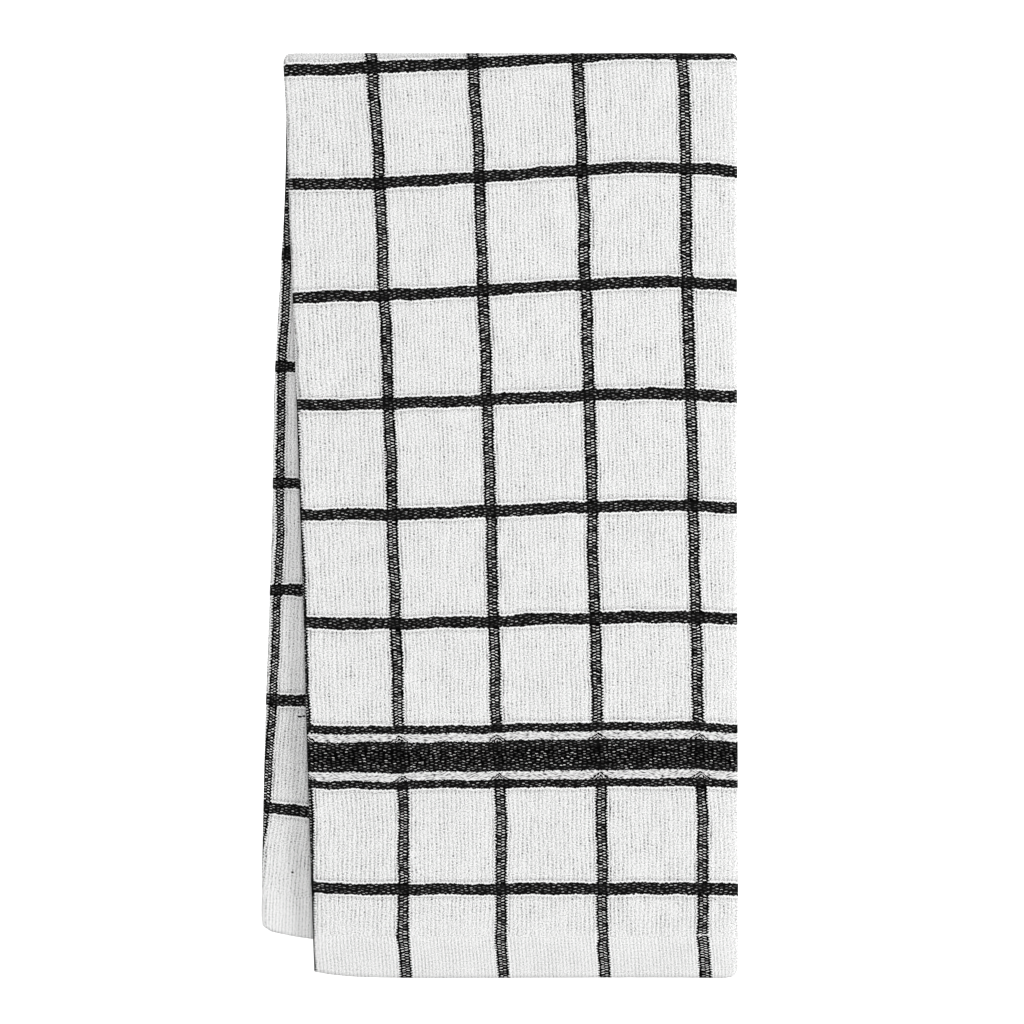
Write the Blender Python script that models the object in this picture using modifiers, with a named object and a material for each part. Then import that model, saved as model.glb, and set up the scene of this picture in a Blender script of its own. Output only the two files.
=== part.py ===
"""A cotton tea towel, folded lengthwise in thirds and then crosswise once.

The face panel lies on top of the front half. The second panel turns under it
at the left fold, and the third turns under both at the right fold. The folded
strip then turns over the crosswise crease, so the back half lies underneath
with its face panel on the surface.
"""

import math

import bmesh
import bpy

# Cloth, in metres.
CLOTH_LENGTH = 0.711
CLOTH_THICK = 0.00125
HEM_THICK = 0.00145
HEM_DEPTH = 0.016
HEM_FADE = 0.004  # the hem's thickness fades into the cloth's over this length
LAYER_AIR = 0.00036  # between two panels
HALF_AIR = 0.0006  # between the front half and the back half

# The folded towel, with the crease towards +Y and the face panel up.
CREASE_EDGE_Y = 0.1811
LENGTH_TO_CREASE = 0.3639  # along the cloth, from the front hem to the middle of the crease
UNDER_PANEL_WIDTH = 0.147  # the panel behind the left fold
INNER_PANEL_WIDTH = 0.128  # the panel behind the right fold
FACE_SETTLE = 0.3  # how far the face panel sinks where a panel below it ends, in layers
UNDER_SETTLE = 0.7  # how far the under panel sinks, which leaves the left fold fuller
SETTLE_RAMP = 0.030

# The strip's long edges, in millimetres: X on each half, at distances from the crease.
EDGE_COLUMNS = ("from_crease", "front_left", "front_right", "back_left", "back_right")
EDGE_ROWS = (
    (0, -84.7, 92.9, -84.7, 92.7),
    (30, -83.2, 92.8, -83.6, 92.2),
    (95, -80.5, 92.7, -86.2, 91.6),
    (180, -77.0, 92.7, -89.0, 90.6),
    (255, -74.4, 92.9, -91.4, 89.8),
    (312, -73.3, 93.0, -92.8, 89.2),
    (362, -71.4, 93.1, -93.5, 88.8),
)

# How far the weave has crept along the strip, in millimetres, at distances from the front hem.
CREEP_COLUMNS = ("along", "across_rise", "right_dip", "left_lift")
CREEP_ROWS = (
    (0, 0.3, 0.3, 2.5),
    (35, 0.4, 0.4, 1.5),
    (138, 2.7, 0.9, 1.0),
    (224, 4.3, 1.0, 0.2),
    (311, 6.4, 1.3, -0.3),
    (364, 5.0, 1.0, 0.0),
    (540, 4.6, 0.8, 0.3),
    (711, 4.4, 0.6, -2.8),
)
RISE_START, RISE_SPAN = 0.05, 0.77  # shares of the strip's width
DIP_SPAN = 0.2  # share of the width next to the right fold
LIFT_REACH = 0.008  # from the left fold

# The front half over the end of the back half, in metres.
BACK_HEM_LIFT, LIFT_AHEAD, LIFT_RAMP = 0.0008, 0.050, 0.030
FRONT_HEM_DROOP, DROOP_AFTER, DROOP_RAMP = 0.0017, 0.001, 0.019

# Slight waves of the front half, in turns a metre.
WAVE_COLUMNS = ("height", "across", "along", "start")
WAVE_ROWS = (
    (0.00025, 4.9, 2.7, 0.10),
    (0.00015, -3.5, 7.5, 0.00),
)
FLAT_AT_CREASE, WAVE_RAMP = 0.012, 0.050

# Rounded corners of the outline, in millimetres.
CORNER_COLUMNS = ("end", "side", "across", "along")
CORNER_ROWS = (
    ("crease", "left", 3.4, 7.2),
    ("crease", "right", 2.2, 3.4),
    ("front", "left", 3.0, 1.6),
    ("front", "right", 2.6, 2.6),
    ("back", "left", 3.4, 5.0),
)
TURN_GAIN = 0.0016  # the crease's round turn draws the hems towards it by this much

# Grid spans on each stretch of the cloth.
PANEL_SPANS = (("under", 9), ("left turn", 6), ("face", 12), ("right turn", 6), ("inner", 8))
LENGTH_SPANS = (("front hem", 2), ("front", 15), ("crease", 10), ("back", 15), ("back hem", 2))

COTTON_COLOUR = (0.84, 0.84, 0.83, 1.0)
COTTON_ROUGHNESS = 0.92


def smooth(x):
    """0 below 0, 1 above 1, and an even S between."""
    x = min(max(x, 0.0), 1.0)
    return x * x * (3.0 - 2.0 * x)


def mix(a, b, share):
    return a + (b - a) * share


def read_table(columns, rows, name, at):
    """The named column of a table at one place, on a smooth curve through the rows."""
    k = columns.index(name)
    at = min(max(at, rows[0][0]), rows[-1][0])
    i = 0
    while i < len(rows) - 2 and at > rows[i + 1][0]:
        i += 1
    lower, upper = rows[i], rows[i + 1]
    before, after = rows[max(i - 1, 0)], rows[min(i + 2, len(rows) - 1)]
    gap = upper[0] - lower[0]
    slope_in = (upper[k] - before[k]) / (upper[0] - before[0]) * gap
    slope_out = (after[k] - lower[k]) / (after[0] - lower[0]) * gap
    w = (at - lower[0]) / gap
    return (
        (2 * w**3 - 3 * w**2 + 1) * lower[k]
        + (w**3 - 2 * w**2 + w) * slope_in
        + (3 * w**2 - 2 * w**3) * upper[k]
        + (w**3 - w**2) * slope_out
    )


def edge(side, along):
    """X of the strip's left or right edge, at a place along the cloth."""
    half = "front" if along < LENGTH_TO_CREASE else "back"
    from_crease = abs(along - LENGTH_TO_CREASE) * 1000.0
    return read_table(EDGE_COLUMNS, EDGE_ROWS, half + "_" + side, from_crease) / 1000.0


def creep(x, along):
    """How far the weave has crept towards the crease, at a place on the strip."""
    left, right = edge("left", along), edge("right", along)
    across = min(max((x - left) / (right - left), 0.0), 1.0)
    rise, dip, lift = (
        read_table(CREEP_COLUMNS, CREEP_ROWS, name, along * 1000.0) / 1000.0
        for name in CREEP_COLUMNS[1:]
    )
    into_dip = max(across - 1.0 + DIP_SPAN, 0.0) / DIP_SPAN
    return (
        rise * smooth((across - RISE_START) / RISE_SPAN)
        - dip * into_dip * into_dip
        + lift * math.exp(-(x - left) / LIFT_REACH)
    )


def cloth_thickness(along):
    """The hems at both ends are a little thicker than the cloth."""
    from_end = min(along, CLOTH_LENGTH - along)
    hem = 1.0 - smooth((from_end - HEM_DEPTH) / HEM_FADE + 0.5)
    return mix(CLOTH_THICK, HEM_THICK, hem)


def layer_heights(x, thick, left_turn, right_turn):
    """Heights of the face, under and inner panels above the middle plane of the crosswise fold."""
    x = min(max(x, left_turn), right_turn)
    step = thick + LAYER_AIR
    no_inner = 1.0 - smooth((x - right_turn + INNER_PANEL_WIDTH) / SETTLE_RAMP + 1.0)
    no_under = smooth((x - left_turn - UNDER_PANEL_WIDTH) / SETTLE_RAMP)
    inner = (thick + HALF_AIR) / 2.0
    under = inner + step * (1.0 - UNDER_SETTLE * no_inner)
    face = inner + step * (2.0 - FACE_SETTLE * (no_inner + no_under))
    return face, under, inner


def across_strip(panel, share, along):
    """X and height of one point of the strip's section, and the X where its two folds begin."""
    thick = cloth_thickness(along)
    left, right = edge("left", along) + thick / 2.0, edge("right", along) - thick / 2.0
    face, under, inner = layer_heights(left, thick, left, right)
    left_radius = (face - under) / 2.0
    face, under, inner = layer_heights(right, thick, left, right)
    right_radius = (face - inner) / 2.0
    left_turn, right_turn = left + left_radius, right - right_radius
    round_fold = math.pi * (share - 0.5)
    x = {
        "under": left_turn + UNDER_PANEL_WIDTH * (1.0 - share),
        "left turn": left_turn - left_radius * math.cos(round_fold),
        "face": mix(left_turn, right_turn, share),
        "right turn": right_turn + right_radius * math.cos(round_fold),
        "inner": right_turn - INNER_PANEL_WIDTH * share,
    }[panel]
    face, under, inner = layer_heights(x, thick, left_turn, right_turn)
    height = {
        "under": under,
        "left turn": mix(under, face, 0.5 + 0.5 * math.sin(round_fold)),
        "face": face,
        "right turn": mix(face, inner, 0.5 + 0.5 * math.sin(round_fold)),
        "inner": inner,
    }[panel]
    return x, height, left_turn, right_turn


def along_cloth(stretch, share, x, face):
    """A row's place along the strip at one X, and its turn. The crease is half a turn of the face panel."""
    crease_start = LENGTH_TO_CREASE - math.pi * face / 2.0
    crease_end = LENGTH_TO_CREASE + math.pi * face / 2.0
    front_end, back_end = creep(x, 0.0), CLOTH_LENGTH + creep(x, CLOTH_LENGTH)
    start, end, first_turn, last_turn = {
        "front hem": (front_end, front_end + HEM_DEPTH, 0.0, 0.0),
        "front": (front_end + HEM_DEPTH, crease_start, 0.0, 0.0),
        "crease": (crease_start, crease_end, 0.0, math.pi),
        "back": (crease_end, back_end - HEM_DEPTH, math.pi, math.pi),
        "back hem": (back_end - HEM_DEPTH, back_end, math.pi, math.pi),
    }[stretch]
    return mix(start, end, share), mix(first_turn, last_turn, share)


def hem_y(end):
    """Y of the front or the back hem's straight edge."""
    length = LENGTH_TO_CREASE if end == "front" else CLOTH_LENGTH - LENGTH_TO_CREASE
    return CREASE_EDGE_Y - length + TURN_GAIN


def front_lift(x, y):
    """The front half's rise over the back hem, its droop past it, and its slight waves."""
    over = smooth((hem_y("back") + LIFT_AHEAD - y) / LIFT_RAMP)
    past = smooth((hem_y("back") - DROOP_AFTER - y) / DROOP_RAMP)
    waves = sum(
        height * math.sin(2.0 * math.pi * (across * x + along * y + start))
        for height, across, along, start in WAVE_ROWS
    )
    return (
        BACK_HEM_LIFT * over
        - FRONT_HEM_DROOP * past
        + waves * smooth((CREASE_EDGE_Y - FLAT_AT_CREASE - y) / WAVE_RAMP)
    )


def round_corner(x, y, end, side, across, along):
    """Draws one square corner of the outline in to a round one, and leaves the rest."""
    corner_x = edge(side, {"crease": LENGTH_TO_CREASE, "front": 0.0, "back": CLOTH_LENGTH}[end])
    corner_y = CREASE_EDGE_Y if end == "crease" else hem_y(end)
    right = 1.0 if side == "right" else -1.0
    up = 1.0 if end == "crease" else -1.0
    a = min(1.0 - right * (corner_x - x) / across, 1.0)
    b = min(1.0 - up * (corner_y - y) / along, 1.0)
    if a <= 0.0 or b <= 0.0:
        return x, y
    x += right * across * a * (math.sqrt(1.0 - b * b / 2.0) - 1.0)
    y += up * along * b * (math.sqrt(1.0 - a * a / 2.0) - 1.0)
    return x, y


def folded(panel, panel_share, stretch, stretch_share):
    """One point of the cloth's middle surface in the folded towel, and the thickness there."""
    along = 0.0 if stretch.startswith("front") else CLOTH_LENGTH
    for _ in range(4):  # the section and the place along the cloth depend on each other
        x, height, left_turn, right_turn = across_strip(panel, panel_share, along)
        face = layer_heights(x, CLOTH_THICK, left_turn, right_turn)[0]
        along, turn = along_cloth(stretch, stretch_share, x, face)
    thick = cloth_thickness(along)
    past_turn = max(abs(along - LENGTH_TO_CREASE) - math.pi * face / 2.0, 0.0)
    y = CREASE_EDGE_Y - CLOTH_THICK / 2.0 - face + height * math.sin(turn) - past_turn
    if turn == math.pi:
        z = thick / 2.0 + layer_heights(x, thick, left_turn, right_turn)[0] - height
    else:
        z = CLOTH_THICK / 2.0 + face + height * math.cos(turn)
    if turn == 0.0:
        z += front_lift(x, y)
    half = "back" if turn == math.pi else "front"
    for end, side, across, reach in CORNER_ROWS:
        if end in (half, "crease"):
            x, y = round_corner(x, y, end, side, across / 1000.0, reach / 1000.0)
    return (x, y, z), thick


def grid_lines(spans):
    """Every grid line across the named stretches, each as its stretch's name and share."""
    lines = [(spans[0][0], 0.0)]
    for name, count in spans:
        lines += [(name, (i + 1) / count) for i in range(count)]
    return lines


def fold_cloth():
    """The cloth's middle surface: a flat grid whose points are moved to their folded places."""
    columns, rows = grid_lines(PANEL_SPANS), grid_lines(LENGTH_SPANS)
    cloth = bmesh.new()
    bmesh.ops.create_grid(cloth, x_segments=len(columns) - 1, y_segments=len(rows) - 1, size=1.0)
    thickness = cloth.verts.layers.deform.verify()
    for vertex in cloth.verts:
        panel, panel_share = columns[round((vertex.co.x + 1.0) / 2.0 * (len(columns) - 1))]
        stretch, stretch_share = rows[round((vertex.co.y + 1.0) / 2.0 * (len(rows) - 1))]
        vertex.co, thick = folded(panel, panel_share, stretch, stretch_share)
        vertex[thickness][0] = thick / HEM_THICK
    mesh = bpy.data.meshes.new("tea_towel")
    cloth.to_mesh(mesh)
    cloth.free()
    mesh.shade_smooth()
    return mesh


def white_cotton():
    cotton = bpy.data.materials.new("white_cotton")
    cotton.use_nodes = True
    surface = cotton.node_tree.nodes["Principled BSDF"]
    surface.inputs["Base Color"].default_value = COTTON_COLOUR
    surface.inputs["Roughness"].default_value = COTTON_ROUGHNESS
    surface.inputs["Metallic"].default_value = 0.0
    return cotton


for old in list(bpy.data.objects):
    bpy.data.objects.remove(old, do_unlink=True)

collection = bpy.data.collections.new("tea_towel")
bpy.context.scene.collection.children.link(collection)

towel = bpy.data.objects.new("tea_towel", fold_cloth())
towel.data.materials.append(white_cotton())
towel.vertex_groups.new(name="thickness")
collection.objects.link(towel)

solid = towel.modifiers.new("cloth thickness", "SOLIDIFY")
solid.thickness = HEM_THICK
solid.offset = 0.0
solid.use_even_offset = True
solid.vertex_group = "thickness"
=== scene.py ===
"""The tea towel's looks: the folded cloth at fine resolution, its woven lines, hems and stitching."""

import math

import bmesh
import bpy
from mathutils import Matrix, Vector


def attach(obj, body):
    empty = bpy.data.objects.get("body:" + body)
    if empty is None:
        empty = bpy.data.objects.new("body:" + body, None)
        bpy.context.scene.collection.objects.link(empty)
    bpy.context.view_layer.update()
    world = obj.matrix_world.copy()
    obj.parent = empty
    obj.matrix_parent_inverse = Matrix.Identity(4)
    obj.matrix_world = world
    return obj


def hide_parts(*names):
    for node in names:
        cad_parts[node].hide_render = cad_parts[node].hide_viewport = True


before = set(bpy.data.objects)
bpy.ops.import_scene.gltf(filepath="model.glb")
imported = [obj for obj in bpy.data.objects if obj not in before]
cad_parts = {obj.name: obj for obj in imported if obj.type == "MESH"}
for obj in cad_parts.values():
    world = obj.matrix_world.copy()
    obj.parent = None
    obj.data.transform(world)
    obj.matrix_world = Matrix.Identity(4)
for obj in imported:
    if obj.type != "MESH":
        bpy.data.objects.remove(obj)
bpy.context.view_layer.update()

# The cloth, in metres.
CLOTH_LENGTH = 0.711
CLOTH_THICK = 0.00125
HEM_THICK = 0.00145
HEM_DEPTH = 0.016
HEM_FADE = 0.004
LAYER_AIR = 0.00036
HALF_AIR = 0.0006

# The folded towel, as the solid has it.
CREASE_EDGE_Y = 0.1816
LENGTH_TO_CREASE = 0.3639
UNDER_PANEL_WIDTH = 0.147
INNER_PANEL_WIDTH = 0.128
FACE_SETTLE = 0.3
UNDER_SETTLE = 0.7
SETTLE_RAMP = 0.030
DRAWN_OUT = 1.0015

# The strip's long edges, in millimetres: X on each half, at distances from the crease.
EDGE_COLUMNS = ("from_crease", "front_left", "front_right", "back_left", "back_right")
EDGE_ROWS = (
    (0, -85.2, 93.4, -85.2, 93.2),
    (30, -83.5, 93.3, -84.0, 92.7),
    (60, -82.5, 93.3, -84.6, 92.5),
    (90, -81.4, 93.2, -86.3, 92.2),
    (130, -79.9, 93.2, -88.5, 91.8),
    (180, -78.3, 93.2, -89.4, 91.1),
    (220, -76.9, 93.3, -90.6, 90.7),
    (260, -75.9, 93.4, -92.0, 90.3),
    (312, -74.3, 93.5, -93.2, 89.7),
    (362, -72.6, 93.6, -94.0, 89.3),
)

# How far the weave has crept along the strip, in millimetres, at distances from the front end.
CREEP_COLUMNS = ("along", "across_rise", "right_dip", "left_lift", "lift_reach", "all_over")
CREEP_ROWS = (
    (0, 0.3, 0.3, 3.0, 12, 0.0),
    (35, 0.4, 0.4, 1.5, 12, 0.0),
    (138, 2.7, 0.9, 1.0, 9, 0.0),
    (224, 4.3, 1.0, 0.2, 8, 0.0),
    (270, 5.5, 1.1, 0.0, 12, 0.0),
    (311, 6.4, 1.3, 0.6, 18, 0.0),
    (346, 6.1, 1.1, 0.5, 16, 0.0),
    (355, 5.8, -0.5, -0.4, 6, 0.0),
    (364, 5.5, -0.6, 0.2, 8, 0.0),
    (380, 5.3, 1.0, 0.5, 12, 0.0),
    (420, 5.1, 0.9, 0.1, 10, 0.0),
    (540, 4.6, 0.8, 0.3, 8, 0.0),
    (620, 4.5, 0.7, -1.0, 8, 0.0),
    (711, 4.4, 0.6, -6.4, 20, 4.0),
)
RISE_START, RISE_SPAN = 0.14, 0.70
RISE_SLOPE, SLOPE_SPAN = 0.2, 0.8
DIP_SPAN = 0.2

# The front half over the end of the back half, in metres.
BACK_HEM_LIFT, LIFT_AHEAD, LIFT_RAMP = 0.0008, 0.050, 0.030
FRONT_HEM_DROOP, DROOP_AFTER, DROOP_RAMP = 0.0017, 0.003, 0.019

# Slight waves of the front half, in turns a metre.
WAVE_ROWS = (
    (0.00025, 4.9, 2.7, 0.10),
    (0.00015, -3.5, 7.5, 0.00),
)
FLAT_AT_CREASE, WAVE_RAMP = 0.012, 0.050

# Rounded corners of the outline, in millimetres: the end, the side, across and along.
CORNER_ROWS = (
    ("crease", "left", 3.4, 7.2),
    ("crease", "right", 2.2, 3.4),
    ("front", "left", 1.8, 1.0),
    ("front", "right", 6.2, 5.0),
    ("back", "left", 4.2, 9.0),
)
TURN_GAIN = 0.0016

# The warp ribs: the number of a rib, and its place in millimetres from the under panel's selvedge.
# The ones at the left fold are pressed closer together.
RIB_ROWS = (
    (0, 0.0),
    (16, 27.2),
    (40, 67.9),
    (64, 108.6),
    (89.5, 147.75),
    (92.5, 151.2),
    (113, 186.15),
    (137, 225.8),
    (161, 266.9),
    (185, 307.8),
    (209, 348.5),
    (233, 389.2),
    (257, 429.9),
    (273, 457.0),
)
WARP_LINES = (16, 40, 64, 91, 113, 137, 161, 185, 209, 233, 257)
WARP_LINE_RIBS = 2.86
HEM_RIBS = 1.17  # valleys to each rib in the hems

# The weft: two picks make one repeat. The black lines' middles are in millimetres from the front end.
REPEAT = 1.17
WEFT_LINES = (
    34.7, 138.4, 181.2, 224.2, 266.6, 310.5, 355.5, 400.0, 444.2, 487.9, 533.7, 576.2, 619.5, 662.1
)
WEFT_LINE_WIDTH = 4.5

# The end band: the middle and the width of each of its black lines, in millimetres.
BAND_ROWS = (
    (75.4, 3.2),
    (86.1, 11.8),
    (96.8, 3.3),
)
BAND_START, BAND_END = 74.0, 98.4

# Where the left fold runs on the flat cloth, in millimetres.
FOLD_COLUMNS = ("along", "left_fold")
FOLD_ROWS = (
    (0, 149.7),
    (5, 149.9),
    (13, 150.3),
    (21, 150.25),
    (33, 149.85),
    (50, 149.5),
    (57, 149.15),
    (71, 149.05),
    (99, 149.35),
    (157, 149.5),
    (185, 149.85),
    (214, 150.05),
    (229, 150.5),
    (245, 151.1),
    (300, 151.4),
    (423, 151.3),
    (436, 151.7),
    (455, 152.4),
    (475, 152.4),
    (520, 152.5),
    (545, 152.8),
    (558, 153.0),
    (568, 152.75),
    (584, 152.4),
    (605, 152.55),
    (628, 151.95),
    (648, 151.2),
    (660, 150.6),
    (669, 149.95),
    (675, 149.1),
    (681, 148.6),
    (692, 147.8),
    (711, 147.2),
)

# Where one warp line runs on the face panel, in millimetres, and how much the ribs there are gathered.
FACE_LINE = 186.0  # its place across the flat cloth
FACE_COLUMNS = ("along", "line_x", "gather")
FACE_ROWS = (
    (0, -36.8, 0.965),
    (7, -37.2, 0.965),
    (17, -38.0, 0.965),
    (30, -37.8, 0.963),
    (55, -37.6, 0.962),
    (75, -38.2, 0.963),
    (96, -39.6, 0.965),
    (124, -40.3, 0.966),
    (152, -41.2, 0.966),
    (195, -42.4, 0.969),
    (238, -44.1, 0.974),
    (281, -45.8, 0.978),
    (324, -47.8, 0.990),
    (348, -49.5, 0.998),
    (364, -50.6, 1.0),
    (450, -52.5, 1.0),
    (711, -55.0, 1.0),
)
FOLD_REACH = 0.028

# Grid spans on each stretch of the cloth.
PANEL_SPANS = (("under", 40), ("left turn", 12), ("face", 52), ("right turn", 12), ("inner", 30))
LENGTH_SPANS = (("front hem", 10), ("front", 64), ("crease", 20), ("back", 64), ("back hem", 10))


def smooth(x):
    """0 below 0, 1 above 1, and an even S between."""
    x = min(max(x, 0.0), 1.0)
    return x * x * (3.0 - 2.0 * x)


def mix(a, b, share):
    return a + (b - a) * share


def read_table(columns, rows, name, at):
    """The named column of a table at one place, on a smooth curve through the rows."""
    k = columns.index(name)
    at = min(max(at, rows[0][0]), rows[-1][0])
    i = 0
    while i < len(rows) - 2 and at > rows[i + 1][0]:
        i += 1
    lower, upper = rows[i], rows[i + 1]
    before, after = rows[max(i - 1, 0)], rows[min(i + 2, len(rows) - 1)]
    gap = upper[0] - lower[0]
    slope_in = (upper[k] - before[k]) / (upper[0] - before[0]) * gap
    slope_out = (after[k] - lower[k]) / (after[0] - lower[0]) * gap
    w = (at - lower[0]) / gap
    return (
        (2 * w**3 - 3 * w**2 + 1) * lower[k]
        + (w**3 - 2 * w**2 + w) * slope_in
        + (3 * w**2 - 2 * w**3) * upper[k]
        + (w**3 - w**2) * slope_out
    )


def edge(side, along):
    """X of the strip's left or right edge, at a place along the cloth."""
    half = "front" if along < LENGTH_TO_CREASE else "back"
    from_crease = abs(along - LENGTH_TO_CREASE) * 1000.0
    return read_table(EDGE_COLUMNS, EDGE_ROWS, half + "_" + side, from_crease) / 1000.0


def creep(x, along):
    """How far the weave has crept towards the crease, at a place on the strip."""
    left, right = edge("left", along), edge("right", along)
    across = min(max((x - left) / (right - left), 0.0), 1.0)
    rise, dip, lift, reach, all_over = (
        read_table(CREEP_COLUMNS, CREEP_ROWS, name, along * 1000.0) / 1000.0
        for name in CREEP_COLUMNS[1:]
    )
    into_dip = max(across - 1.0 + DIP_SPAN, 0.0) / DIP_SPAN
    risen = mix(smooth((across - RISE_START) / RISE_SPAN), min(across / SLOPE_SPAN, 1.0), RISE_SLOPE)
    return (
        rise * risen
        - dip * into_dip * into_dip
        + lift * math.exp(-(x - left) / reach)
        + all_over
    )


def cloth_thickness(along):
    """The hems at both ends are a little thicker than the cloth."""
    from_end = min(along, CLOTH_LENGTH - along)
    hem = 1.0 - smooth((from_end - HEM_DEPTH) / HEM_FADE + 0.5)
    return mix(CLOTH_THICK, HEM_THICK, hem)


def layer_heights(x, thick, left_turn, right_turn):
    """Heights of the face, under and inner panels above the middle plane of the crosswise fold."""
    x = min(max(x, left_turn), right_turn)
    step = thick + LAYER_AIR
    no_inner = 1.0 - smooth((x - right_turn + INNER_PANEL_WIDTH) / SETTLE_RAMP + 1.0)
    no_under = smooth((x - left_turn - UNDER_PANEL_WIDTH) / SETTLE_RAMP)
    inner = (thick + HALF_AIR) / 2.0
    under = inner + step * (1.0 - UNDER_SETTLE * no_inner)
    face = inner + step * (2.0 - FACE_SETTLE * (no_inner + no_under))
    return face, under, inner


def across_strip(panel, share, along):
    """One point of the strip's section: X, height, its two turns, and its place across the flat cloth."""
    thick = cloth_thickness(along)
    left, right = edge("left", along) + thick / 2.0, edge("right", along) - thick / 2.0
    face, under, inner = layer_heights(left, thick, left, right)
    left_radius = (face - under) / 2.0
    face, under, inner = layer_heights(right, thick, left, right)
    right_radius = (face - inner) / 2.0
    left_turn, right_turn = left + left_radius, right - right_radius
    round_fold = math.pi * (share - 0.5)
    x = {
        "under": left_turn + UNDER_PANEL_WIDTH * (1.0 - share) ** 2,  # closer columns beside the turn
        "left turn": left_turn - left_radius * math.cos(round_fold),
        "face": mix(left_turn, right_turn, share),
        "right turn": right_turn + right_radius * math.cos(round_fold),
        "inner": right_turn - INNER_PANEL_WIDTH * share,
    }[panel]
    face, under, inner = layer_heights(x, thick, left_turn, right_turn)
    height = {
        "under": under,
        "left turn": mix(under, face, 0.5 + 0.5 * math.sin(round_fold)),
        "face": face,
        "right turn": mix(face, inner, 0.5 + 0.5 * math.sin(round_fold)),
        "inner": inner,
    }[panel]
    fold = read_table(FOLD_COLUMNS, FOLD_ROWS, "left_fold", along * 1000.0) / 1000.0
    line_x = read_table(FACE_COLUMNS, FACE_ROWS, "line_x", along * 1000.0) / 1000.0
    gather = read_table(FACE_COLUMNS, FACE_ROWS, "gather", along * 1000.0)
    quarter_fold = math.pi * left_radius / 2.0
    face_start = FACE_LINE / 1000.0 + (left_turn - line_x) / gather
    face_end = FACE_LINE / 1000.0 + (right_turn - line_x) / gather
    near_fold = 1.0 - smooth((x - left_turn) / FOLD_REACH)
    flat_across = {
        "under": fold - quarter_fold - (x - left_turn),
        "left turn": fold + left_radius * round_fold,
        "face": mix(face_start, face_end, share) + (fold + quarter_fold - face_start) * near_fold,
        "right turn": face_end + math.pi * right_radius * share,
        "inner": face_end + math.pi * right_radius + right_turn - x,
    }[panel]
    return x, height, left_turn, right_turn, flat_across


def along_cloth(stretch, share, x, face):
    """A row's place along the strip at one X, and its turn. The crease is half a turn of the face panel."""
    crease_start = LENGTH_TO_CREASE - math.pi * face / 2.0
    crease_end = LENGTH_TO_CREASE + math.pi * face / 2.0
    front_end, back_end = creep(x, 0.0), CLOTH_LENGTH + creep(x, CLOTH_LENGTH)
    start, end, first_turn, last_turn = {
        "front hem": (front_end, front_end + HEM_DEPTH, 0.0, 0.0),
        "front": (front_end + HEM_DEPTH, crease_start, 0.0, 0.0),
        "crease": (crease_start, crease_end, 0.0, math.pi),
        "back": (crease_end, back_end - HEM_DEPTH, math.pi, math.pi),
        "back hem": (back_end - HEM_DEPTH, back_end, math.pi, math.pi),
    }[stretch]
    return mix(start, end, share), mix(first_turn, last_turn, share)


def hem_y(end):
    """Y of the front or the back hem's straight edge."""
    length = LENGTH_TO_CREASE if end == "front" else CLOTH_LENGTH - LENGTH_TO_CREASE
    return CREASE_EDGE_Y - length * DRAWN_OUT + TURN_GAIN


def front_lift(x, y):
    """The front half's rise over the back hem, its droop past it, and its slight waves."""
    over = smooth((hem_y("back") + LIFT_AHEAD - y) / LIFT_RAMP)
    past = smooth((hem_y("back") - DROOP_AFTER - y) / DROOP_RAMP)
    waves = sum(
        height * math.sin(2.0 * math.pi * (across * x + along * y + start))
        for height, across, along, start in WAVE_ROWS
    )
    return (
        BACK_HEM_LIFT * over
        - FRONT_HEM_DROOP * past
        + waves * smooth((CREASE_EDGE_Y - FLAT_AT_CREASE - y) / WAVE_RAMP)
    )


def round_corner(x, y, end, side, across, along):
    """Draws one square corner of the outline in to a round one, and leaves the rest."""
    corner_x = edge(side, {"crease": LENGTH_TO_CREASE, "front": 0.0, "back": CLOTH_LENGTH}[end])
    corner_y = CREASE_EDGE_Y if end == "crease" else hem_y(end)
    right = 1.0 if side == "right" else -1.0
    up = 1.0 if end == "crease" else -1.0
    # Both are 1 at the square corner, and at or under 0 where the edge is straight.
    over = min(1.0 - right * (corner_x - x) / across, 1.0)
    out = min(1.0 - up * (corner_y - y) / along, 1.0)
    if over <= 0.0 or out <= 0.0:
        return x, y
    x += right * across * over * (math.sqrt(1.0 - out * out / 2.0) - 1.0)
    y += up * along * out * (math.sqrt(1.0 - over * over / 2.0) - 1.0)
    return x, y


def folded(panel, panel_share, stretch, stretch_share):
    """One point of the cloth's middle surface: its place, its thickness, and its place on the flat cloth."""
    along = 0.0 if stretch.startswith("front") else CLOTH_LENGTH
    for _ in range(4):  # the section and the place along the cloth depend on each other
        x, height, left_turn, right_turn, flat_across = across_strip(panel, panel_share, along)
        face = layer_heights(x, CLOTH_THICK, left_turn, right_turn)[0]
        along, turn = along_cloth(stretch, stretch_share, x, face)
    thick = cloth_thickness(along)
    flat_along = along - creep(x, along)
    past_turn = max(abs(along - LENGTH_TO_CREASE) - math.pi * face / 2.0, 0.0)
    y = CREASE_EDGE_Y - CLOTH_THICK / 2.0 - face + height * math.sin(turn) - past_turn * DRAWN_OUT
    if turn == math.pi:
        z = thick / 2.0 + layer_heights(x, thick, left_turn, right_turn)[0] - height
    else:
        z = CLOTH_THICK / 2.0 + face + height * math.cos(turn)
    if turn == 0.0:
        z += front_lift(x, y)
    half = "back" if turn == math.pi else "front"
    for end, side, across, reach in CORNER_ROWS:
        if end in (half, "crease"):
            x, y = round_corner(x, y, end, side, across / 1000.0, reach / 1000.0)
    return (x, y, z), thick, (flat_across, flat_along)


def grid_lines(spans):
    """Every grid line across the named stretches, each as its stretch's name and share."""
    lines = [(spans[0][0], 0.0)]
    for name, count in spans:
        lines += [(name, (i + 1) / count) for i in range(count)]
    return lines


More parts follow.
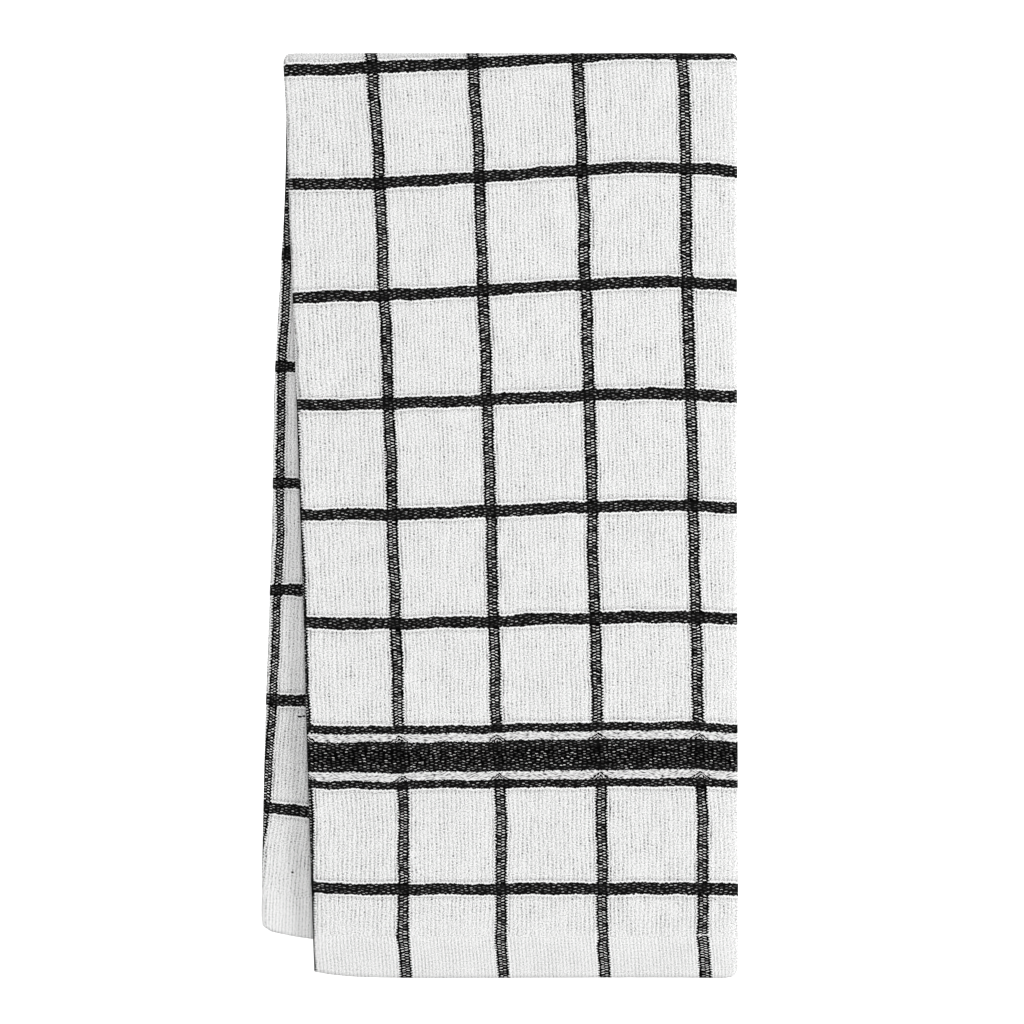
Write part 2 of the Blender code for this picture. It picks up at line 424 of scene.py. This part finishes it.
def rib_number(across):
    """The warp rib at a place across the flat cloth, in millimetres."""
    i = 0
    while i < len(RIB_ROWS) - 2 and across > RIB_ROWS[i + 1][1]:
        i += 1
    (first, start), (last, end) = RIB_ROWS[i], RIB_ROWS[i + 1]
    return mix(first, last, (across - start) / (end - start))


def fold_cloth(name):
    """The folded cloth. Its UV map called weave counts warp ribs across and weft repeats along."""
    columns, rows = grid_lines(PANEL_SPANS), grid_lines(LENGTH_SPANS)
    cloth = bmesh.new()
    bmesh.ops.create_grid(cloth, x_segments=len(columns) - 1, y_segments=len(rows) - 1, size=1.0)
    thickness = cloth.verts.layers.deform.verify()
    threads = {}
    for vertex in cloth.verts:
        panel, panel_share = columns[round((vertex.co.x + 1.0) / 2.0 * (len(columns) - 1))]
        stretch, stretch_share = rows[round((vertex.co.y + 1.0) / 2.0 * (len(rows) - 1))]
        vertex.co, thick, (flat_across, flat_along) = folded(panel, panel_share, stretch, stretch_share)
        vertex[thickness][0] = thick / HEM_THICK
        threads[vertex] = rib_number(flat_across * 1000.0), flat_along * 1000.0 / REPEAT
    weave = cloth.loops.layers.uv.new("weave")
    for face in cloth.faces:
        face.smooth = True
        for corner in face.loops:
            corner[weave].uv = threads[corner.vert]
    mesh = bpy.data.meshes.new(name)
    cloth.to_mesh(mesh)
    cloth.free()
    towel = bpy.data.objects.new(name, mesh)
    bpy.context.scene.collection.objects.link(towel)
    towel.vertex_groups.new(name="thickness")
    solid = towel.modifiers.new("cloth thickness", "SOLIDIFY")
    solid.thickness = HEM_THICK
    solid.offset = 0.0
    solid.use_even_offset = True
    solid.vertex_group = "thickness"
    return towel


class Socket:
    """A shader socket that takes part in ordinary sums."""

    def __init__(self, tree, socket=None):
        self.tree, self.socket = tree, socket

    def node(self, kind, settings=None, inputs=None, output=0):
        """Adds one node: its settings first, and then the values or links of its sockets."""
        made = self.tree.nodes.new(kind)
        for name, value in (settings or {}).items():
            setattr(made, name, value)
        for name, value in (inputs or {}).items():
            if isinstance(value, Socket):
                self.tree.links.new(value.socket, made.inputs[name])
            else:
                made.inputs[name].default_value = value
        return Socket(self.tree, made.outputs[output] if made.outputs else None)

    def maths(self, operation, *values):
        return self.node("ShaderNodeMath", {"operation": operation}, dict(enumerate(values)))

    def __add__(self, other):
        return self.maths("ADD", self, other)

    def __sub__(self, other):
        return self.maths("SUBTRACT", self, other)

    def __mul__(self, other):
        return self.maths("MULTIPLY", self, other)

    def __truediv__(self, other):
        return self.maths("DIVIDE", self, other)

    def __rsub__(self, other):
        return self.maths("SUBTRACT", other, self)

    def __abs__(self):
        return self.maths("ABSOLUTE", self)

    __radd__ = __add__
    __rmul__ = __mul__

    def whole(self):
        return self.maths("FLOOR", self)

    def part(self):
        return self.maths("FRACT", self)

    def least(self, other):
        return self.maths("MINIMUM", self, other)

    def most(self, other):
        return self.maths("MAXIMUM", self, other)

    def wave(self):
        """A cosine that turns once for each 1."""
        return self.maths("COSINE", self * (2.0 * math.pi))

    def within(self, reach, softness):
        """1 while the value is under reach, fading to 0 over softness."""
        settings = {"interpolation_type": "SMOOTHSTEP"}
        limits = {
            "Value": self,
            "From Min": reach - softness / 2.0,
            "From Max": reach + softness / 2.0,
            "To Min": 1.0,
            "To Max": 0.0,
        }
        return self.node("ShaderNodeMapRange", settings, limits)

    def oval(self, reach, other, other_reach):
        """The distance from the middle of an oval, which is 1 at its rim."""
        a, b = self / reach, other / other_reach
        return self.maths("SQRT", a * a + b * b)

    def nearest(self, lines):
        """The distance to the nearest of some lines."""
        distance = abs(self - lines[0])
        for line in lines[1:]:
            distance = distance.least(abs(self - line))
        return distance

    def pair(self, across, along):
        """A flat vector."""
        return self.node("ShaderNodeCombineXYZ", None, {"X": across, "Y": along})

    def noise(self, place, scale, detail=2.0):
        """Soft noise around 0, seldom past a quarter."""
        settings = {"noise_dimensions": "2D"}
        inputs = {"Vector": place, "Scale": scale, "Detail": detail}
        return self.node("ShaderNodeTexNoise", settings, inputs) - 0.5

    def chance(self, across, along):
        """A number from 0 to 1 for each whole place."""
        place = {"Vector": self.pair(across, along)}
        return self.node("ShaderNodeTexWhiteNoise", {"noise_dimensions": "2D"}, place)

    def chances(self, across, along):
        """Three numbers from 0 to 1 for each whole place."""
        place = {"Vector": self.pair(across, along)}
        colour = self.node("ShaderNodeTexWhiteNoise", {"noise_dimensions": "2D"}, place, "Color")
        return [self.node("ShaderNodeSeparateXYZ", None, {"Vector": colour}, axis) for axis in "XYZ"]

    def blend(self, a, b, share):
        """Colour a, turning to colour b as share goes to 1."""
        settings = {"data_type": "RGBA", "clamp_factor": True}
        return self.node("ShaderNodeMix", settings, {0: share, 6: a, 7: b}, 2)  # the colour sockets' numbers


# The yarns' colours.
WHITE_YARN = (0.92, 0.92, 0.918, 1.0)
BRIGHT_YARN = (0.97, 0.97, 0.97, 1.0)
BLACK_YARN = (0.001, 0.001, 0.001, 1.0)
# The black that the cloth's shade scales from, also the colour of the dark marks.
SHADE_AND_MARK_BLACK = (0.0, 0.0, 0.0, 1.0)

# Scales of soft noise, in waves a millimetre, and a place far enough off for noise of its own.
WANDER_SCALE = 0.06
CLUSTER_SCALE = 0.13
SWAY_SCALE = 0.5
OTHER_PLACE = 400.0

# The weave. Widths count ribs and lengths count repeats, unless a line says otherwise.
RIB_MM = 1.69
EVEN_PACK, END_PACK, HEM_PACK = 1.03, 0.04, 0.13  # how close the picks lie, and how much closer near an end
SEAM_REACH, SEAM_FADE, SEAM_SHIFT = 2.0, 3.5, 1.8  # the hem's sewing pulls the ribs aside
SLIVER_SLANT, FLECK_SLANT = 2.6, 0.3
FLECK_MARGIN, DEEP_MARGIN = 0.45, 2.2  # inside a black weft line's edge
STRAND_TURN = math.radians(15.0)  # how far the gaps' strands turn from the weft
STRAND_LENGTH, STRAND_WIDTH = 2.0, 0.38  # in millimetres
TENT_REACH, TENT_HEIGHT = 2.5, 2.3
STROKES = 1.05  # a tent's strokes in each repeat
CREASE_REACH = 4.5  # in millimetres
RIGHT_RIM = 93.3  # X of the right fold's rim, in millimetres
FOLD_LINE_RIB = 91.0  # the black warp line on the left fold
LOOSE_STITCH_RIB = 185.0  # the black warp line that the front hem's thread lies over
LOOSE_STITCH_PAST = 0.9  # how far past the hem that thread lies

# Half widths and half lengths of the slivers, flecks, pits and dark marks, in ribs and in repeats.
SLIVER_WIDTH = 0.52
FLECK_WIDTH, FLECK_LENGTH = 0.38, 0.12
PIT_WIDTH, PIT_LENGTH = 0.26, 0.34
MARK_LENGTH = 0.42

# Painted shade on part of the back half, and painted light past a place near its end, in millimetres.
BACK_SHADE, BACK_SHADE_REACH, BACK_SHADE_FADE = 634.0, 22.0, 30.8
BACK_LIGHT_START, BACK_LIGHT_FADE = 688.0, 30.0

# Small dark marks on the cloth: the rib, the repeat and half the mark's width.
FLECK_MARKS = (
    (83.4, 534.7, 0.8),
    (82.4, 534.5, 0.5),
    (81.9, 586.4, 0.45),
)


def repeats(millimetres):
    return millimetres / REPEAT


CLOTH_END = repeats(CLOTH_LENGTH * 1000.0)
HEM_REACH = repeats(HEM_DEPTH * 1000.0)
CREASE_PLACE = repeats(LENGTH_TO_CREASE * 1000.0)
BAND_MIDDLE = repeats(BAND_START + BAND_END) / 2.0
BAND_REACH = repeats(BAND_END - BAND_START) / 2.0


def packed_picks(picks, along):
    """The picks lie closer near the ends, and closer again in the hems."""
    into_hem = picks - picks.most(HEM_REACH).least(CLOTH_END - HEM_REACH)
    near_end = picks - picks.most(repeats(BAND_START)).least(CLOTH_END - repeats(BAND_START))
    return along * EVEN_PACK + near_end * END_PACK + into_hem * HEM_PACK


def weft_slivers(shader, column, off_rib, cell_place, slant, hem):
    """White weft over the black warp lines: its slivers, and the scallops it gives their edges."""
    place = cell_place + off_rib * slant
    luck, turn, shift = shader.chances(column, place.whole())
    off_sliver = place.part() - 0.5 + (shift - 0.5) * 0.2 + off_rib * (turn - 0.5) * 0.5
    bold = 1.0 - (luck + hem * 0.1).within(0.24, 1.0)
    light = bold * 1.1 + 0.02
    length = bold * (0.12 - hem * 0.01) + 0.055
    sliver = off_rib.oval(SLIVER_WIDTH, off_sliver, length).within(0.85, 0.25) * light
    scallop = place.wave() * (shift * 0.34 + 0.06)
    return sliver, scallop


def warp_flecks(shader, column, off_rib, cell_place, slant):
    """White warp over the black weft lines: its flecks, and each one's luck."""
    place = cell_place + off_rib * slant * FLECK_SLANT
    luck, shift_across, shift_along = shader.chances(column + 0.37, place.whole())
    fleck_across = off_rib + (shift_across - 0.5) * 0.5
    tilt = fleck_across * (shift_across - 0.5) * 0.3
    off_fleck = place.part() - 0.5 + (shift_along - 0.5) * 0.4 + tilt
    fleck = fleck_across.oval(FLECK_WIDTH, off_fleck, FLECK_LENGTH).within(0.85, 0.35)
    return fleck, luck


def rib_valleys(shader, ribs, along, drift, hem, clusters):
    """Uneven valleys between the ribs, with a pit at every repeat. The hem's lie closer and straighter."""
    place = (ribs + drift * (1.0 - hem * 0.8)) * (1.0 + hem * (HEM_RIBS - 1.0)) + 0.5
    valley = place.whole()
    uneven = shader.noise(shader.pair(valley * 5.1, along * 0.1), 1.0) * (1.0 - hem * 0.5)
    off_valley = place - valley - 0.5 - uneven * 0.4
    pit_place = along + (valley * 0.5).part() + 0.25 + uneven * 1.2
    off_pit = pit_place.part() - 0.5
    luck = shader.chance(valley + 0.61, pit_place.whole())
    pit = off_valley.oval(PIT_WIDTH, off_pit, PIT_LENGTH).within(0.75, 0.9)
    pit = pit * (luck * luck * clusters * 2.0 + 0.12)
    groove = (0.5 + off_valley.wave() * 0.5) * (1.0 + uneven * 1.4)
    return uneven, groove, pit


def weft_line_distance(along):
    """The distance past the edge of the nearest black weft line, below 0 inside it."""
    weft_off = along.nearest([repeats(y) for y in WEFT_LINES]) - repeats(WEFT_LINE_WIDTH / 2.0)
    for middle, width in BAND_ROWS:
        weft_off = weft_off.least(abs(along - repeats(middle)) - repeats(width / 2.0))
    return weft_off


def gap_strands(shader, ribs, picks, spot):
    """The shade of the band's white gaps: strands of weft that lean one way here and the other there."""
    x, y = ribs * RIB_MM, picks * REPEAT
    strands = []
    for turn in (STRAND_TURN, -STRAND_TURN):
        lengthwise = (x * math.cos(turn) + y * math.sin(turn)) / STRAND_LENGTH
        crosswise = (y * math.cos(turn) - x * math.sin(turn)) / STRAND_WIDTH
        strands.append(shader.noise(shader.pair(lengthwise, crosswise), 1.0, 0.0))
    leaning = (shader.noise(spot, 0.22) * 8.0 + 0.5).most(0.0).least(1.0)
    strand = strands[0] * leaning + strands[1] * (1.0 - leaning)
    return 0.86 - (strand + 0.06).most(0.0) * 2.3


def warp_tents(shader, across, along, sway, spot):
    """Small hatched tents in the band's white gaps, where the black warps dive under the weft."""
    warp_near = across.nearest(WARP_LINES) / TENT_REACH
    tents = []
    for middle, width in BAND_ROWS[:2]:  # each tent stands on the far edge of its black line
        above = along - repeats(middle + width / 2.0)
        height = above + warp_near * TENT_HEIGHT + sway * 0.8 + shader.noise(spot, 0.9) * 1.2
        strokes = 1.0 - ((TENT_HEIGHT - height) * STROKES - 0.3).wave().within(-0.3, 0.4)
        inside = height.within(TENT_HEIGHT, 0.2) * (0.0 - above).within(0.2, 0.2)
        tents.append(strokes * inside)
    return tents[0].most(tents[1])


def woven_cotton():
    material = bpy.data.materials.new("woven_cotton")
    material.use_nodes = True
    tree = material.node_tree
    tree.nodes.clear()
    shader = Socket(tree)
    weave = shader.node("ShaderNodeUVMap", {"uv_map": "weave"})
    ribs = shader.node("ShaderNodeSeparateXYZ", None, {"Vector": weave}, "X")
    picks = shader.node("ShaderNodeSeparateXYZ", None, {"Vector": weave}, "Y")
    spot = shader.pair(ribs * RIB_MM, picks * REPEAT)
    other_spot = shader.pair(ribs * RIB_MM + OTHER_PLACE, picks * REPEAT)
    clusters = (shader.noise(spot, CLUSTER_SCALE) + 0.5).most(0.0)
    other_clusters = (shader.noise(other_spot, CLUSTER_SCALE) * 1.6 + 0.5).most(0.0)

    # Threads wander a little from straight lines.
    hem = picks.least(CLOTH_END - picks).within(HEM_REACH, 0.3)
    sway = shader.noise(spot, SWAY_SCALE)
    at_seam = abs(picks - HEM_REACH).within(SEAM_REACH, SEAM_FADE)
    seam_shift = shader.noise(shader.pair(ribs * 0.11 + OTHER_PLACE, 0.0), 1.0) * at_seam * SEAM_SHIFT
    drift = shader.noise(spot, WANDER_SCALE) * 0.8 + sway * 0.26
    across = ribs + drift + seam_shift
    along = picks + shader.noise(other_spot, WANDER_SCALE) * 1.5 + shader.noise(other_spot, 0.4) * 0.5

    # Cells of the plain weave: each rib is a column, and neighbours are half a repeat apart.
    column = across.whole()
    off_rib = across - column - 0.5
    slant = shader.noise(shader.pair(column * 7.3, along * 0.25), 1.0) * SLIVER_SLANT
    cell_place = packed_picks(picks, along) + (column * 0.5).part()
    sliver, scallop = weft_slivers(shader, column, off_rib, cell_place, slant, hem)
    fleck, fleck_luck = warp_flecks(shader, column, off_rib, cell_place, slant)
    uneven, groove, pit = rib_valleys(shader, ribs, along, drift, hem, other_clusters)

    # Where the black warp and weft yarns lie. Their edges follow the weave.
    warp_off = across.nearest(WARP_LINES) - scallop
    from_warp_edge = warp_off - WARP_LINE_RIBS / 2.0
    in_warp_line = warp_off.within(WARP_LINE_RIBS / 2.0, 0.12)
    ragged = across.wave() * 0.07 + sway * 0.5 + shader.noise(other_spot, 1.1) * 0.8
    weft_off = weft_line_distance(along)
    in_weft_line = (weft_off + ragged).within(0.0, 0.15)
    inside_weft_line = (weft_off + FLECK_MARGIN).within(0.0, 0.4)
    deep_inside = (weft_off + DEEP_MARGIN).within(0.0, 2.0)
    in_band = (abs(along - BAND_MIDDLE) + ragged).within(BAND_REACH, 0.3)

    # The cloth is whiter right beside the black lines, with painted shade a little further out.
    beside_warp = from_warp_edge.within(0.33, 0.2) * (1.0 - in_band)
    beside = beside_warp.most(weft_off.within(0.55, 0.4))
    painted_weft_shade = weft_off.within(1.5, 1.6) * (1.0 - weft_off.within(0.6, 0.3)) * (1.0 - in_band)
    painted_warp_shade = from_warp_edge.within(0.9, 0.3) * (1.0 - beside_warp)

    # The weave is pressed flatter on the crease, at the right rim and beside the black lines.
    on_crease = abs(picks - CREASE_PLACE).within(repeats(CREASE_REACH), 3.0)
    place = shader.node("ShaderNodeTexCoord", output="Object")
    x_mm = shader.node("ShaderNodeSeparateXYZ", None, {"Vector": place}, "X") * 1000.0
    # Painted shade along the right fold's rim.
    painted_rim_shade = (RIGHT_RIM - x_mm).within(1.3, 1.4)
    near_rim = (RIGHT_RIM - x_mm).within(4.0, 6.0)
    relief = (1.0 - beside * 0.7) * (1.0 - on_crease * 0.6) * (1.0 - near_rim * 0.5)

    # The white cloth's shade: painted shade in its valleys and pits, deeper near the black warp lines, and a
    # little beyond the black lines.
    broken_warp_shade = painted_warp_shade * (1.0 - hem) * (0.8 + uneven * 2.5)
    groove_shade = (0.15 + other_clusters * 0.09) * (1.0 + hem * 0.1 + broken_warp_shade)
    near_hem = picks.within(HEM_REACH + 6.0, 8.0)
    pit_shade = 0.35 - near_hem * 0.12 - hem * 0.12
    painted_shade = (groove * groove_shade + pit * pit_shade) * relief
    # Painted shade on the crease, beyond the black weft lines and along the right rim.
    painted_shade = painted_shade + on_crease * 0.07 + painted_weft_shade * 0.18 + painted_rim_shade * 0.1
    mottle = shader.noise(other_spot, 0.05) * 0.06 + shader.noise(spot, 2.2, 0.0) * (0.98 - hem * 0.25)
    # Painted light along the front hem's bottom rim.
    painted_front_rim_light = picks.within(0.4, 2.4)
    # Painted shade on part of the back half, and painted light near its end.
    from_back_shade = abs(picks - repeats(BACK_SHADE)) - repeats(BACK_SHADE_REACH)
    painted_back_shade = from_back_shade.within(0.0, repeats(BACK_SHADE_FADE))
    painted_back_light = 1.0 - picks.within(repeats(BACK_LIGHT_START), repeats(BACK_LIGHT_FADE))
    shade = 0.932 + hem * 0.01 + painted_front_rim_light * 0.1 - painted_back_shade * 0.1 + painted_back_light * 0.06 - painted_shade + mottle

    # The weft hides the warp in the band's white gaps, all but the tents and the line on the left fold.
    gap_shade = gap_strands(shader, ribs, picks, spot)
    plain_shade = shade * (1.0 - in_band) + gap_shade * in_band + beside * 0.09
    plain = shader.blend(SHADE_AND_MARK_BLACK, WHITE_YARN, plain_shade)
    on_front_half = picks.within(CREASE_PLACE, 2.0)
    on_front_fold = abs(across - FOLD_LINE_RIB).within(5.0, 1.0) * on_front_half
    tent = warp_tents(shader, across, along, sway, spot)
    tent = tent.most(on_front_fold * warp_off.within(0.55, 0.2) * in_band)

    # The black lines, with the slivers and flecks of the white yarns that cross them.
    sliver_share = sliver * warp_off.within(1.0, 0.3) * (1.0 - on_front_fold * 0.3)
    warp_colour = shader.blend(BLACK_YARN, BRIGHT_YARN, sliver_share)
    dim_light = (0.11 + fleck_luck * 0.19) * (1.0 - deep_inside * 0.3)
    bright_luck = fleck_luck * fleck_luck * fleck_luck * clusters
    fleck_light = dim_light + bright_luck * (1.2 + deep_inside * 0.5)
    fleck_share = fleck * fleck_light * inside_weft_line * (1.0 - in_warp_line * 0.6)
    edge_light = (1.0 - deep_inside) * inside_weft_line * 0.004
    weft_colour = shader.blend(BLACK_YARN, BRIGHT_YARN, fleck_share + edge_light)

    # The loose stitch of the front hem lies over one black warp line, and dark marks over the cloth.
    stitch_across = abs(across - LOOSE_STITCH_RIB).within(2.6, 0.4)
    stitch_along = abs(along - HEM_REACH - LOOSE_STITCH_PAST + off_rib * 0.3).within(0.17, 0.1)
    under_stitch = 1.0 - stitch_across * stitch_along
    colour = shader.blend(plain, warp_colour, in_warp_line * (1.0 - in_band) * under_stitch)
    colour = shader.blend(colour, BLACK_YARN, tent)
    colour = shader.blend(colour, weft_colour, in_weft_line)
    for rib, repeat, half_width in FLECK_MARKS:
        mark = (ribs - rib).oval(half_width, picks - repeat, MARK_LENGTH).within(0.8, 0.4)
        colour = shader.blend(colour, SHADE_AND_MARK_BLACK, mark)

    height = 0.7 - groove * 0.5 - pit * 0.4
    bump = shader.node("ShaderNodeBump", None, {"Strength": 0.3, "Distance": 0.0002, "Height": height})
    surface = shader.node(
        "ShaderNodeBsdfPrincipled",
        None,
        {"Base Color": colour, "Roughness": 0.95, "Normal": bump, "Specular IOR Level": 0.02},
    )
    shader.node("ShaderNodeOutputMaterial", None, {"Surface": surface})
    return material


# The stage. Its lengths are in metres.
FLOOR_HALF_SIDE = 3.0
FLOOR_DROP = 0.0002  # the floor lies a hair under the cloth, so that the two never share a plane
FLOOR_GLOW = 0.65
STUDIO_GLOW = 0.12
SOFTBOX_AIM = (0.0, 0.0, 0.0)

# The soft lights: the name, place, size and power of each.
SOFTBOX_ROWS = (
    ("overhead_softbox", (0.0, 0.0, 1.95), 1.6, 27.5),
    ("right_softbox", (2.7, 0.5, 1.52), 1.2, 60.0),
    ("left_softbox", (-3.0, -0.4, 1.3), 1.2, 19.5),
)

# The photograph's frame, in metres, and the camera's lens, in millimetres.
FRAME_WIDTH = 0.401
FRAME_MIDDLE = (0.0049, 0.0014)
FACE_HEIGHT = 0.0090
LENS = 150.0
SENSOR = 36.0


def pale_floor():
    floor = bpy.data.materials.new("pale_floor")
    floor.use_nodes = True
    surface = floor.node_tree.nodes["Principled BSDF"]
    surface.inputs["Base Color"].default_value = (0.93, 0.93, 0.93, 1.0)
    surface.inputs["Roughness"].default_value = 0.8
    surface.inputs["Emission Color"].default_value = (1.0, 1.0, 1.0, 1.0)
    surface.inputs["Emission Strength"].default_value = FLOOR_GLOW
    return floor


def lay_floor():
    sheet = bmesh.new()
    lowered = Matrix.Translation((0.0, 0.0, -FLOOR_DROP))
    bmesh.ops.create_grid(sheet, x_segments=1, y_segments=1, size=FLOOR_HALF_SIDE, matrix=lowered)
    mesh = bpy.data.meshes.new("floor")
    sheet.to_mesh(mesh)
    sheet.free()
    mesh.materials.append(pale_floor())
    floor = bpy.data.objects.new("floor", mesh)
    bpy.context.scene.collection.objects.link(floor)


def set_camera():
    camera = bpy.data.cameras.new("camera")
    camera.lens = LENS
    camera.sensor_width = SENSOR
    camera.clip_end = 20.0
    holder = bpy.data.objects.new("camera", camera)
    distance = FRAME_WIDTH * LENS / SENSOR
    holder.location = (FRAME_MIDDLE[0], FRAME_MIDDLE[1], FACE_HEIGHT + distance)
    bpy.context.scene.collection.objects.link(holder)
    bpy.context.scene.camera = holder


def add_softbox(name, place, size, power):
    light = bpy.data.lights.new(name, "AREA")
    light.shape = "SQUARE"
    light.size = size
    light.energy = power
    holder = bpy.data.objects.new(name, light)
    holder.location = place
    towards = Vector(SOFTBOX_AIM) - Vector(place)
    holder.rotation_euler = towards.to_track_quat("-Z", "Y").to_euler()
    bpy.context.scene.collection.objects.link(holder)


def light_studio():
    world = bpy.data.worlds.new("studio")
    world.use_nodes = True
    background = world.node_tree.nodes["Background"]
    background.inputs["Color"].default_value = (1.0, 1.0, 1.0, 1.0)
    background.inputs["Strength"].default_value = STUDIO_GLOW
    bpy.context.scene.world = world
    for row in SOFTBOX_ROWS:
        add_softbox(*row)


bpy.context.scene.view_settings.view_transform = "Standard"
set_camera()
light_studio()
lay_floor()

towel = fold_cloth("folded_towel")
towel.data.materials.append(woven_cotton())
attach(towel, "root")
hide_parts("tea_towel")
